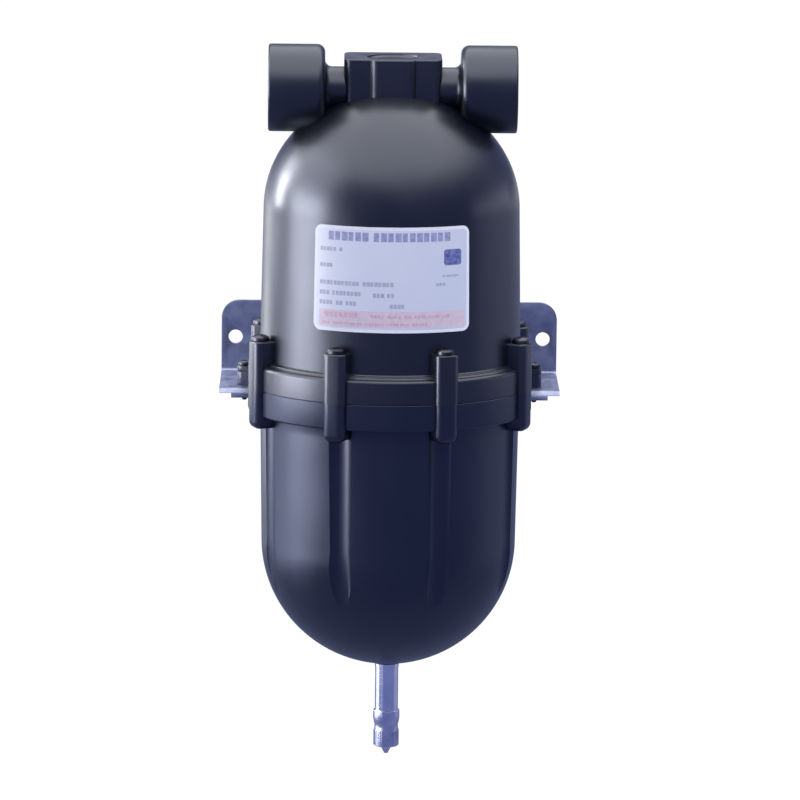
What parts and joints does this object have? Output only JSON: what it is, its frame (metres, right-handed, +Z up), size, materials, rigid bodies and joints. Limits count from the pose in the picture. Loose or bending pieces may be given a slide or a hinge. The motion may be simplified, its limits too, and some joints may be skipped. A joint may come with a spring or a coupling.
{
  "type": "bladder accumulator",
  "caption": "Small pre-charged bladder accumulator for a water pump: clamped plastic shells with a pipe manifold on top, an air valve below and a folded wall bracket behind.",
  "frame": {"origin": "midway between the two wall holes, on the bracket's wall face", "axes": "+Z up along the tank, +Y into the wall, +X to the viewer's right"},
  "size_m": [0.1134, 0.0964, 0.238],
  "materials": {
    "shell_plastic": "blue-black moulded plastic, satin gloss, faint grain",
    "bladder_rubber": "smooth matt rubber",
    "seal_rubber": "matt rubber",
    "bracket_steel": "plated sheet steel, dull blue-grey",
    "valve_nickel": "polished nickel plate",
    "cap_nickel": "nickel plate, slightly worn",
    "dark_steel": "blackened steel",
    "screw_steel": "black oxide steel",
    "core_brass": "turned brass",
    "spring_steel": "drawn wire",
    "label_foil": "printed silver-white foil"
  },
  "bodies": {
    "tank": {"upper_shell": "shell_plastic", "lower_shell": "shell_plastic", "bladder": "bladder_rubber", "wall_bracket": "bracket_steel", "valve_stem": "valve_nickel", "stem_washer": "seal_rubber", "stem_lock_ring": "valve_nickel", "core_body": "core_brass", "core_barrel_seal": "seal_rubber", "core_spring": "spring_steel", "label": "label_foil", "clamp_screw_1": "screw_steel", "clamp_screw_2": "screw_steel", "clamp_screw_3": "screw_steel", "clamp_screw_4": "screw_steel", "clamp_screw_5": "screw_steel", "clamp_screw_6": "screw_steel", "clamp_screw_7": "screw_steel", "clamp_screw_8": "screw_steel", "bracket_screw_right": "screw_steel", "bracket_screw_left": "screw_steel", "bracket_nut_right": "dark_steel", "bracket_nut_left": "dark_steel"},
    "core_pin": {"core_pin": "core_brass", "core_seal": "seal_rubber"},
    "cap_seal": {"cap_gasket": "seal_rubber"},
    "cap": {"valve_cap": "cap_nickel"}
  },
  "joints": [
    {"name": "core_press", "type": "slide", "parent": "tank", "child": "core_pin", "axis": [0, 0, 1], "range_m": [0, 0.0012], "stiffness_N_per_m": 600, "springref_m": -0.0015, "deforming": ["core_spring"]},
    {"name": "cap_lift", "type": "slide", "parent": "tank", "child": "cap_seal", "axis": [0, 0, -1], "range_m": [0, 0.00476]},
    {"name": "cap_turn", "type": "hinge", "parent": "cap_seal", "child": "cap", "pos_m": [0, -0.0495, -0.1171], "axis": [0, 0, -1], "range_deg": [0, 2162]}
  ],
  "couplings": [
    {"joint": "cap_turn", "follows": "cap_lift", "rad_per_m": 7915.8}
  ]
}
